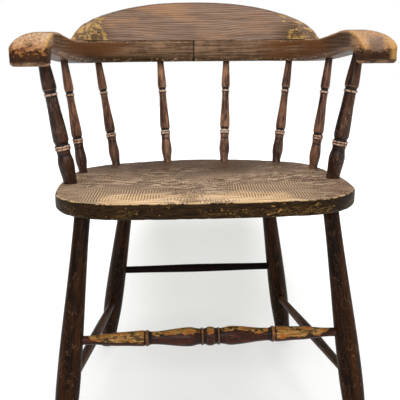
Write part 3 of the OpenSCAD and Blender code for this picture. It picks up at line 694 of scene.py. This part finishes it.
def add_leg(place, side, finish, seed):
    """A leg from its socket in the seat to its foot, which is cut level with the floor."""
    top, foot = (np.array([side * p[0], p[1], z]) for p, z in zip(LEG_LINES[place], (SEAT_TOP, 0.0)))
    length = np.linalg.norm(top - foot)
    axis = (top - foot) / length
    end = length - ROOF / axis[2]
    neck = length - SEAT_T / axis[2] - LEG_COLLAR
    low = -LEG_FOOT / 2 * math.tan(math.acos(axis[2])) - 0.5  # so far down that the floor cuts every side
    stations = np.concatenate([np.linspace(low, neck, 190), np.linspace(neck + 4, end, 8)])
    swell = smooth((stations - STRAIGHT_H) / (BELLY_H - STRAIGHT_H))
    taper = smooth((stations - BELLY_H) / (neck - BELLY_H))
    radii = (LEG_FOOT + (LEG_BELLY - LEG_FOOT) * swell + (LEG_TOP - LEG_BELLY) * taper) / 2
    rings, grain = lathe(stations, radii, foot, axis, 48)
    below = np.minimum(rings[..., 2], 0.0)
    rings = rings - axis * (below / axis[2])[..., None]
    node = "leg_%s_%s" % (place, "left" if side < 0 else "right")
    build(node + "_aged", rings, grain, finish, node, seed, turned=True, knocks=30)


# ---------------------------------------------------------------------------
# Seat
# ---------------------------------------------------------------------------

def facing(turn):
    """The direction at so many degrees from +X towards +Y."""
    turn = np.radians(turn)
    return np.stack([np.cos(turn), np.sin(turn)], -1)


class Bow:
    """Three arcs that meet smoothly and end square to the centre plane."""

    def __init__(self, start, side_r, corner_r, turns):
        side = np.array(start) - side_r * facing(turns[0])
        corner = side + (side_r - corner_r) * facing(turns[1])
        back_r = corner_r + corner[0] / math.cos(math.radians(turns[2]))
        back = corner - (back_r - corner_r) * facing(turns[2])
        self.turns = turns
        self.centres = np.array([side, corner, back])
        self.radii = np.array([side_r, corner_r, back_r])

    def at(self, turn, off=0.0):
        """The point where the curve faces that way, or one so far outside it."""
        part = np.searchsorted(self.turns[1:], turn, side="right")
        return self.centres[part] + (self.radii[part] + off)[..., None] * facing(turn)

    def spaced(self, step_length):
        """Turns from the start to the centre plane, evenly spaced along the arcs."""
        fine = np.linspace(self.turns[0], 90.0, 3000)
        run = np.concatenate([[0], np.cumsum(np.linalg.norm(np.diff(self.at(fine), axis=0), axis=1))])
        return np.interp(np.linspace(0, run[-1], int(run[-1] / step_length)), run, fine)


SEAT_REAR = Bow((256.0, -80.0), 620.0, 110.0, (0.0, 14.5, 62.0))
SEAT_FRONT = Bow((256.0, 80.0), 700.0, 110.0, (0.0, 4.5, 85.0))
SEAT_MIDDLE = np.array([0.0, -25.0])
UNDER_ROUND, TOP_ROUND = 8.0, 3.0
# Depth of the sitter's hollow, and the shares of the way out where it starts and where it is deepest
DISH, DISH_OUT, DISH_IN = 6.0, 0.8, 0.32


def seat_outline(off):
    """The plank's outline, so far outside its widest one."""
    front = SEAT_FRONT.at(SEAT_FRONT.spaced(3.0), off)[::-1] * (1, -1)
    right = np.concatenate([front, SEAT_REAR.at(SEAT_REAR.spaced(3.0), off)[1:]])
    return np.concatenate([right, right[-2:0:-1] * (-1, 1)])


def level(outline, z):
    """An outline laid level at a height."""
    return np.column_stack([outline, np.full(len(outline), z)])


def add_seat(finish):
    """The plank: a rounded underside edge, a worn upper arris and a shallow hollow for the sitter."""
    whole = seat_outline(0.0)
    rim = seat_outline(-UNDER_ROUND)
    under = SEAT_TOP - SEAT_T
    rings = [level(SEAT_MIDDLE + k * (rim - SEAT_MIDDLE), under) for k in (0.03, 0.4, 0.7, 0.9, 0.97)]
    for a in np.radians(np.arange(0, 91, 11.25)):
        rings.append(level(seat_outline(-UNDER_ROUND * (1 - math.sin(a))),
                           under + UNDER_ROUND * (1 - math.cos(a))))
    for z in np.linspace(under + UNDER_ROUND, SEAT_TOP - TOP_ROUND, 7)[1:-1]:
        rings.append(level(whole, z))
    for a in np.radians(np.arange(90, -1, -15)):
        rings.append(level(seat_outline(-TOP_ROUND * (1 - math.sin(a))),
                           SEAT_TOP - TOP_ROUND * (1 - math.cos(a))))
    for k in np.linspace(0.975, 0.03, 46):
        dip = DISH * smooth((DISH_OUT - k) / (DISH_OUT - DISH_IN))
        rings.append(level(SEAT_MIDDLE + k * (whole - SEAT_MIDDLE), SEAT_TOP - dip))
    rings = np.stack(rings)
    build("seat_aged", rings, rings.copy(), finish, "seat", 11, knocks=60, wear=1.2)


# ---------------------------------------------------------------------------
# Bow: arms, blocks and crest
# ---------------------------------------------------------------------------

# The arms' straight part turns out by this many degrees and meets the bow at BOW_START
ARM_TURN, ARM_FRONT, BOW_START = 5.5, 163.0, 62.0
RAIL = Bow((272.0, -BOW_START), 900.0, 110.0, (ARM_TURN, 18.0, 70.0))
RAIL_UNDER, RAIL_T, RAIL_W = 634.0, 44.0, 50.0
RAIL_TOP = RAIL_UNDER + RAIL_T
# How far the arms rise, how much thicker they grow and how much wider, and where that happens
ARM_RISE, ARM_CROWN, ARM_FLARE = 21.0, 12.5, 11.0
CROWN_Y, DIP_Y, RISE_FROM, RISE_TO = 55.0, 70.0, 140.0, 110.0
FRONT_ROUND, SQUARE_EDGE = 9.0, 0.4
LOW_EDGE, TOP_OUTER_EDGE, TOP_INNER_EDGE = 9.0, 17.0, 5.0
BLOCK_ROUND, BLOCK_H, BLOCK_LEN, SQUARE_RUN = 6.0, 21.0, 50.0, 14.0
ARM_UNDER = RAIL_UNDER + ARM_RISE
# The blocks' tops reach a little into the arms, so that no light shows in the glued joint
JOINT_TOP = ARM_UNDER + 1.5
JOINT_GAP = 0.1
CREST_H, CREST_LEAN, CREST_FOOT, CREST_TOP, CREST_ROUND = 78.0, 20.0, 34.0, 15.0, 3.0
CREST_BULGE, CREST_END_H, CREST_END_TURN = 2.0, 2.0, 17.0
CREST_END_POWER, CREST_TOP_POWER = 2.3, 0.85


def under_height(y):
    """Height of the bow's underside, which rises along the arms."""
    return RAIL_UNDER + ARM_RISE * smooth((RISE_FROM - y) / (RISE_FROM + RISE_TO))


def top_height(y):
    """Height of the bow's top, which rises along the arms and rolls over at their fronts."""
    crown = RAIL_TOP + ARM_CROWN * smooth((DIP_Y - y) / (DIP_Y + CROWN_Y))
    ahead = np.clip((-y - CROWN_Y) / (ARM_FRONT - CROWN_Y), 0, 1)
    roll = ARM_UNDER + (RAIL_TOP + ARM_CROWN - ARM_UNDER) * np.sqrt(1 - ahead ** 2)
    return np.where(y < -CROWN_Y, roll, crown)


def half_width(y):
    """Half the bow's width, which flares along the arms and is rounded at their fronts."""
    ahead = np.clip(1 - (y + ARM_FRONT) / FRONT_ROUND, 0, 1)
    nose = FRONT_ROUND * (1 - np.sqrt(1 - ahead ** 2))
    flare = ARM_FLARE / 2 * smooth(1.25 * (-BOW_START - y) / (ARM_FRONT - BOW_START))
    return RAIL_W / 2 - nose + flare


def arm_rounds(y):
    """Radii of an arm's edges, whose lower ones are left square above the block."""
    share = float(smooth((y + ARM_FRONT - BLOCK_LEN + SQUARE_RUN) / SQUARE_RUN))
    low = SQUARE_EDGE + (LOW_EDGE - SQUARE_EDGE) * share
    return low, TOP_OUTER_EDGE, TOP_INNER_EDGE, low


def box_section(half, low, high, rounds, step_angle=11.25):
    """A box's section with rounded corners: lower outer, upper outer, upper inner, lower inner."""
    corners = ((1, 0), (1, 1), (-1, 1), (-1, 0))
    points = []
    for i, (side, upper) in enumerate(corners):
        r = min(rounds[i], 0.48 * (high - low))
        middle = (side * (half - r), high - r if upper else low + r)
        for a in np.radians(np.arange(0, 90.1, step_angle) - 90 + 90 * i):
            points.append((middle[0] + r * math.cos(a), middle[1] + r * math.sin(a)))
    return np.array(points)


def stood(place, facing_out, section):
    """A section stood up at a place, facing outwards."""
    return np.column_stack([place + section[:, :1] * facing_out, section[:, 1]])


def straight_place(y):
    """A place on an arm's straight centreline."""
    return np.array([RAIL.at(ARM_TURN)[0] - (y + BOW_START) * math.tan(math.radians(ARM_TURN)), y])


def arm_places():
    """Places and facings from the joint behind the sitter to the arm's front, closer together in the roll."""
    places = [(RAIL.at(turn), facing(turn)) for turn in RAIL.spaced(3.0)[::-1]]
    places[0] = (places[0][0] + (JOINT_GAP, 0.0), places[0][1])
    for a in np.radians(np.concatenate([np.arange(5, 80, 2.5), np.arange(80, 89.6, 1.5)])):
        y = -CROWN_Y - (ARM_FRONT - CROWN_Y) * math.sin(a)
        places.append((straight_place(y), facing(ARM_TURN)))
    return places


def run_along(places):
    """How far along the wood each place lies."""
    points = np.array([p for p, _ in places])
    return np.concatenate([[0], np.cumsum(np.linalg.norm(np.diff(points, axis=0), axis=1))])


def add_arm(side, finish, seed):
    """Half of the bow, from the joint behind the sitter to the rolled front of the arm."""
    places = arm_places()
    run = run_along(places)
    sections = [box_section(float(half_width(p[1])), float(under_height(p[1])), float(top_height(p[1])),
                            arm_rounds(p[1])) for p, _ in places]
    rings = np.stack([stood(p, d, s) for (p, d), s in zip(places, sections)]) * (side, 1, 1)
    grain = np.stack([np.column_stack([np.full(len(s), r), s]) for r, s in zip(run, sections)])
    both = finer(np.concatenate([rings, grain], 2), 4.5)
    node = "arm_left" if side < 0 else "arm_right"
    build(node + "_aged", both[..., :3], both[..., 3:], finish, node, seed, knocks=50, wear=0.9)


def add_block(side, finish, seed):
    """The block glued under an arm's front end: rounded in front and coved behind."""
    cove = BLOCK_H - 2
    places, sections = [], []
    rounds = (BLOCK_ROUND, SQUARE_EDGE, SQUARE_EDGE, BLOCK_ROUND)
    for a in np.radians(np.arange(0, 180.1, 5)):
        y = -ARM_FRONT + BLOCK_LEN / 2 * (1 - math.cos(a))
        along = y + ARM_FRONT
        low = ARM_UNDER - BLOCK_H
        low += FRONT_ROUND * (1 - math.sqrt(1 - max(0.0, 1 - along / FRONT_ROUND) ** 2))
        behind = min(1.0, max(0.0, (along - BLOCK_LEN + cove) / cove))
        low += cove * math.sqrt(1 - (1 - behind) ** 2)
        places.append((straight_place(y), facing(ARM_TURN)))
        sections.append(box_section(float(half_width(y)), low, JOINT_TOP, rounds))
    rings = np.stack([stood(p, d, s) for (p, d), s in zip(places, sections)]) * (side, 1, 1)
    grain = np.stack([np.column_stack([np.full(len(s), r), s]) for r, s in zip(run_along(places), sections)])
    both = finer(np.concatenate([rings, grain], 2), 4.0)
    node = "knuckle_left" if side < 0 else "knuckle_right"
    build(node + "_aged", both[..., :3], both[..., 3:], finish, node, seed, knocks=8)


def crest_section(h):
    """The crest's section where it is h high: a face that leans back, a narrow top and a steep back."""
    k, r = h / CREST_H, min(CREST_ROUND, h / 3)
    foot = -RAIL_W / 2
    front = foot + CREST_LEAN * k
    back = foot + CREST_FOOT + (CREST_LEAN + CREST_TOP - CREST_FOOT) * k
    points = [(foot + CREST_FOOT, 0), ((foot + CREST_FOOT + back) / 2 + CREST_BULGE * k, h / 2)]
    for middle, first in (((back - r, h - r), 0), ((front + r, h - r), 90)):
        for a in np.radians(np.arange(0, 90.1, 22.5) + first):
            points.append((middle[0] + r * math.cos(a), middle[1] + r * math.sin(a)))
    points += [(foot + 0.68 * CREST_LEAN * k, 0.7 * h), (foot + 0.3 * CREST_LEAN * k, 0.35 * h), (foot, 0)]
    return np.array(points) + (0, RAIL_TOP)


def add_crest(finish):
    """The shaped board on top of the bow, bent with it and highest behind the sitter's middle."""
    fine = np.linspace(CREST_END_TURN, 90.0, 3000)
    run = np.concatenate([[0], np.cumsum(np.linalg.norm(np.diff(RAIL.at(fine), axis=0), axis=1))])
    rings, grain = [], []
    for share in np.linspace(0, 1, 130) ** 1.25:  # closer together at the crest's end
        turn = float(np.interp(share * run[-1], run, fine))
        rise = (1 - (1 - share) ** CREST_END_POWER) ** CREST_TOP_POWER
        h = CREST_END_H + (CREST_H - CREST_END_H) * rise
        section = crest_section(h)
        rings.append(stood(RAIL.at(turn), facing(turn), section))
        grain.append(np.column_stack([np.full(len(section), share * run[-1]), section]))

    # The other half, mirrored, while its grain runs on
    rings, grain = np.array(rings), np.array(grain)
    other = rings[-2::-1] * (-1, 1, 1)
    far = grain[-2::-1].copy()
    far[..., 0] = 2 * run[-1] - far[..., 0]
    both = np.concatenate([np.concatenate([rings, other]), np.concatenate([grain, far])], 2)
    both = finer(both, 4.0)
    build("crest_aged", both[..., :3], both[..., 3:], finish, "crest", 41, knocks=30, wear=0.9)


def finish_screws(finish):
    """The CAD's own screws stay as they are and only take a finish."""
    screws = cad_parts["crest_screws"]
    screws.data.materials.clear()
    screws.data.materials.append(finish)


# ---------------------------------------------------------------------------
# Floor
# ---------------------------------------------------------------------------

def add_floor():
    """A pale floor that keeps the chair's shadow, with a painted shadow behind the chair between its legs,
    and fades to white further off.
    """
    reach = 7.0
    mesh = bpy.data.meshes.new("floor")
    mesh.from_pydata([(-reach, -reach, 0.0), (reach, -reach, 0.0), (reach, reach, 0.0), (-reach, reach, 0.0)],
                     [], [(0, 1, 2, 3)])
    material = bpy.data.materials.new("floor_paper")
    material.use_nodes = True
    tree = material.node_tree
    tree.nodes.clear()
    start = Wire(tree)
    camera, glossy, through = (start.node("LightPath", out="Is %s Ray" % kind)
                               for kind in ("Camera", "Glossy", "Transmission"))
    seen = camera.math("MAXIMUM", camera.math("MAXIMUM", camera, glossy), through)
    place = start.node("NewGeometry", out="Position")
    x, y = (place.node("SeparateXYZ", {0: place}, out=i) for i in range(2))
    # A painted shadow: a grey wedge behind the chair between its legs, widening further back, in the floor's
    # colour and its glow
    beside = x - 0.01 - 0.06 * y
    behind = (0.25 + 0.75 * step(y, -0.1, 0.5)) * (1 - step(y, 1.1, 2.3))
    painted_shadow = (1 - step(size_of(beside) - 0.07 * y, 0.04, 0.32)) * behind
    away = place.node("VectorMath", {0: place}, out="Value", operation="LENGTH")
    near = mix(painted_shadow, (0.42, 0.42, 0.415, 1.0), (0.18, 0.18, 0.17, 1.0))
    light = mix(step(away, 0.7, 2.2) * (1 - painted_shadow), near, (1.0, 1.0, 1.0, 1.0))
    matt = start.node("BsdfDiffuse", {"Color": mix(painted_shadow, (0.80, 0.80, 0.79, 1.0), (0.63, 0.63, 0.61, 1.0))})
    glow = start.node("Emission", {"Color": light, "Strength": seen})
    both = start.node("AddShader", {0: matt, 1: glow})
    output = tree.nodes.new("ShaderNodeOutputMaterial")
    tree.links.new(both.socket, output.inputs["Surface"])
    mesh.materials.append(material)
    floor = bpy.data.objects.new("floor", mesh)
    bpy.context.scene.collection.objects.link(floor)


def add_world():
    """White surroundings, which light the chair less than they show."""
    world = bpy.data.worlds.new("studio")
    bpy.context.scene.world = world
    world.use_nodes = True
    tree = world.node_tree
    tree.nodes.clear()
    start = Wire(tree)
    camera = start.node("LightPath", out="Is Camera Ray")
    strength = 0.4 + camera * 0.6
    glow = start.node("Background", {"Color": (1.0, 1.0, 1.0, 1.0), "Strength": strength})
    output = tree.nodes.new("ShaderNodeOutputWorld")
    tree.links.new(glow.socket, output.inputs["Surface"])


# ---------------------------------------------------------------------------
# The chair in its studio
# ---------------------------------------------------------------------------

add_camera()
add_floor()
add_world()
add_lamp("front", (-0.1, -2.4, 1.25), (0.0, 0.0, 0.5), (0.9, 0.7), 22)
add_lamp("key", (-1.5, -1.9, 2.2), (0.0, 0.0, 0.5), (1.8, 1.4), 22)
add_lamp("fill", (1.9, -1.4, 1.3), (0.0, 0.0, 0.5), (1.2, 1.6), 9)
add_lamp("top", (0.0, -0.3, 2.6), (0.0, 0.1, 0.4), (2.6, 1.4), 22)
add_lamp("back", (0.4, 1.7, 2.7), (0.0, 0.0, 0.5), (1.8, 1.4), 16)

handled = {"wear": 0.9, "chips": 0.01, "gloss": 0.26, "shine": 0.2}
leg_paint = dark_paint(
    "leg_dark_paint", tone(12, 5, 1), tone(54, 28, 9), tone(118, 88, 62), tone(132, 86, 42),
    wear=0.3, chips=-0.01, shine=0.07, scratches=0.6)
post_paint = dark_paint(
    "post_dark_paint", tone(14, 5, 1), tone(76, 41, 18), tone(200, 164, 140), tone(140, 96, 54),
    scratches=0.3, shade_and_darkening=0.5, seat_darkening=1.0, **handled)
spindle_paint = dark_paint(
    "spindle_red_brown_paint", tone(40, 18, 10), tone(132, 88, 62), tone(204, 168, 146), tone(160, 112, 70),
    scratches=0.2, shade_and_darkening=0.7, **handled)
# The back spindles' brown paint is a lighter copy of the spindles' paint, which also paints their highlights
lit_back_paint = dark_paint(
    "back_spindle_lit_brown_paint", tone(62, 32, 18), tone(168, 122, 90), tone(220, 192, 168), tone(188, 142, 96),
    scratches=0.2, shade_and_darkening=0.8, **handled)
# The rear stretcher's paint is darkened to near black as painted shade
shaded_rear_paint = dark_paint(
    "rear_stretcher_shaded_dark_paint", tone(7, 3, 2), tone(24, 13, 8), tone(48, 30, 20), tone(72, 46, 26),
    wear=0.3, chips=-0.02, shine=0.03)
side_paint = dark_paint(
    "side_stretcher_dark_paint", tone(30, 17, 10), tone(88, 60, 40), tone(120, 92, 68), tone(124, 84, 48),
    wear=0.5, chips=0.0, shine=0.1, scratches=0.3)

add_seat(seat_finish())
for number, (place, side) in enumerate([("front", -1), ("front", 1), ("rear", -1), ("rear", 1)]):
    add_leg(place, side, leg_paint, 20 + number)
add_turned("stretcher_front", foot_rest_finish(), 31, sides=48)
add_turned("stretcher_rear", shaded_rear_paint, 32)
add_turned("stretcher_left", side_paint, 33)
add_turned("stretcher_right", side_paint, 34)
add_turned("post_left", post_paint, 50)
add_turned("post_right", post_paint, 51)
places = [("side", spindle_paint), ("corner", spindle_paint), ("back", lit_back_paint)]
for number, (place, paint) in enumerate(places):
    add_turned("spindle_%s_left" % place, paint, 52 + 2 * number)
    add_turned("spindle_%s_right" % place, paint, 53 + 2 * number)
rail = rail_finish()
add_arm(-1, rail, 71)
add_arm(1, rail, 72)
add_block(-1, rail, 73)
add_block(1, rail, 74)
add_crest(crest_finish())
finish_screws(screw_finish())

bpy.context.scene.view_settings.view_transform = "Standard"
